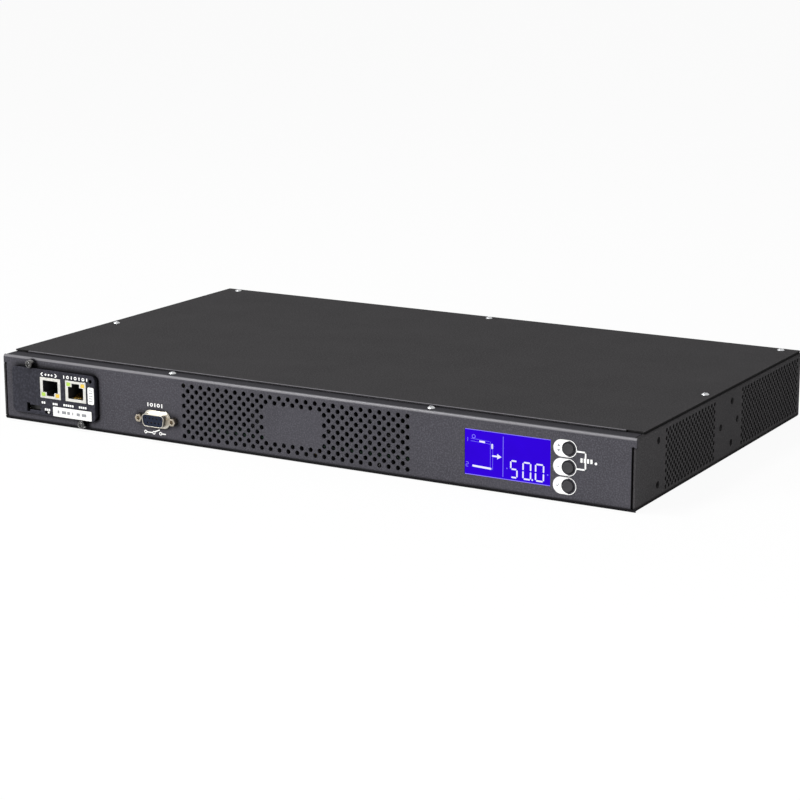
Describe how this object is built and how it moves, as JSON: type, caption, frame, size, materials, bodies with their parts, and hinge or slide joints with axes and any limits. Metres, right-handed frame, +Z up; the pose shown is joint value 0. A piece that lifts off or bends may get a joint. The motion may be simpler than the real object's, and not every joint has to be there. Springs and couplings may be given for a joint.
{
  "type": "rack transfer switch",
  "caption": "Rack mount automatic transfer switch, one unit high: network card, serial port, display with buttons, mains inlets and outlets at the rear.",
  "frame": {"origin": "centre of the case's flat bottom, halfway between the front panel's face and the rear wall's face", "axes": "+Z up, the front panel faces -Y, +X to the right seen from the front"},
  "size_m": [0.438, 0.2654, 0.0444],
  "materials": {
    "painted_case": "satin",
    "painted_panel": "satin",
    "zinc_steel": "satin",
    "nickel_screw": "gloss",
    "painted_bracket": "satin",
    "circuit_board": "satin",
    "black_epoxy": "matte",
    "ivory_plastic": "satin",
    "jack_shield": "satin",
    "black_plastic": "satin",
    "gold_contact": "gloss",
    "green_light": "gloss",
    "amber_light": "gloss",
    "white_plastic": "satin",
    "grey_plastic": "satin",
    "serial_steel": "satin",
    "serial_blue": "satin",
    "lcd_glass": "gloss",
    "button_cap": "satin",
    "ribbon_grey": "satin",
    "relay_case": "satin",
    "capacitor_sleeve": "gloss",
    "sensor_body": "satin",
    "core_steel": "satin",
    "copper_winding": "gloss",
    "copper_bar": "satin",
    "brass_part": "satin",
    "lead_insulation": "satin",
    "breaker_white": "satin"
  },
  "bodies": {
    "case": {"chassis": "painted_case", "front_panel": "painted_panel", "top_cover": "painted_case", "case_screws": "zinc_steel", "under_screws": "zinc_steel", "card_bracket": "painted_bracket", "card_screws": "nickel_screw", "card_board": "circuit_board", "card_chips": "black_epoxy", "card_backplane": "circuit_board", "card_socket": "ivory_plastic", "card_rails": "ivory_plastic", "ethernet_shield": "jack_shield", "settings_shield": "jack_shield", "jack_inserts": "black_plastic", "jack_contacts": "gold_contact", "green_lights": "green_light", "amber_lights": "amber_light", "reset_switch": "grey_plastic", "serial_shell": "serial_steel", "serial_insulator": "serial_blue", "serial_contacts": "gold_contact", "serial_jackposts": "zinc_steel", "display_glass": "lcd_glass", "display_frame": "black_plastic", "display_board": "circuit_board", "display_posts": "zinc_steel", "button_switches": "grey_plastic", "ribbon_headers": "black_plastic", "display_ribbon": "ribbon_grey", "logic_board": "circuit_board", "logic_chips": "black_epoxy", "power_board": "circuit_board", "board_standoffs": "brass_part", "board_screws": "zinc_steel", "transfer_relays": "relay_case", "filter_capacitors": "capacitor_sleeve", "current_sensors": "sensor_body", "transformer_cores": "core_steel", "transformer_windings": "copper_winding", "source_inlet_1": "black_plastic", "source_inlet_2": "black_plastic", "inlet_pins": "zinc_steel", "outlet_bank_a": "black_plastic", "outlet_bank_b": "black_plastic", "large_outlet": "black_plastic", "outlet_contacts": "brass_part", "breaker_1": "black_plastic", "breaker_2": "black_plastic", "breaker_nuts": "nickel_screw", "line_bars": "copper_bar", "neutral_bar": "copper_bar", "earth_bar": "copper_bar", "power_leads": "lead_insulation"},
    "button_1": {"button_1": "button_cap"},
    "button_2": {"button_2": "button_cap"},
    "button_3": {"button_3": "button_cap"},
    "reset_button": {"reset_button": "white_plastic"},
    "breaker_button_1": {"breaker_button_1": "breaker_white"},
    "breaker_button_2": {"breaker_button_2": "breaker_white"}
  },
  "joints": [
    {"name": "button_1_press", "type": "slide", "parent": "case", "child": "button_1", "axis": [0, 1, 0], "range_m": [0, 0.0005], "stiffness_N_per_m": 3200},
    {"name": "button_2_press", "type": "slide", "parent": "case", "child": "button_2", "axis": [0, 1, 0], "range_m": [0, 0.0005], "stiffness_N_per_m": 3200},
    {"name": "button_3_press", "type": "slide", "parent": "case", "child": "button_3", "axis": [0, 1, 0], "range_m": [0, 0.0005], "stiffness_N_per_m": 3200},
    {"name": "reset_press", "type": "slide", "parent": "case", "child": "reset_button", "axis": [0, 1, 0], "range_m": [0, 0.0004], "stiffness_N_per_m": 3200},
    {"name": "breaker_1_trip", "type": "slide", "parent": "case", "child": "breaker_button_1", "axis": [0, 1, 0], "range_m": [0, 0.0045]},
    {"name": "breaker_2_trip", "type": "slide", "parent": "case", "child": "breaker_button_2", "axis": [0, 1, 0], "range_m": [0, 0.0045]}
  ]
}
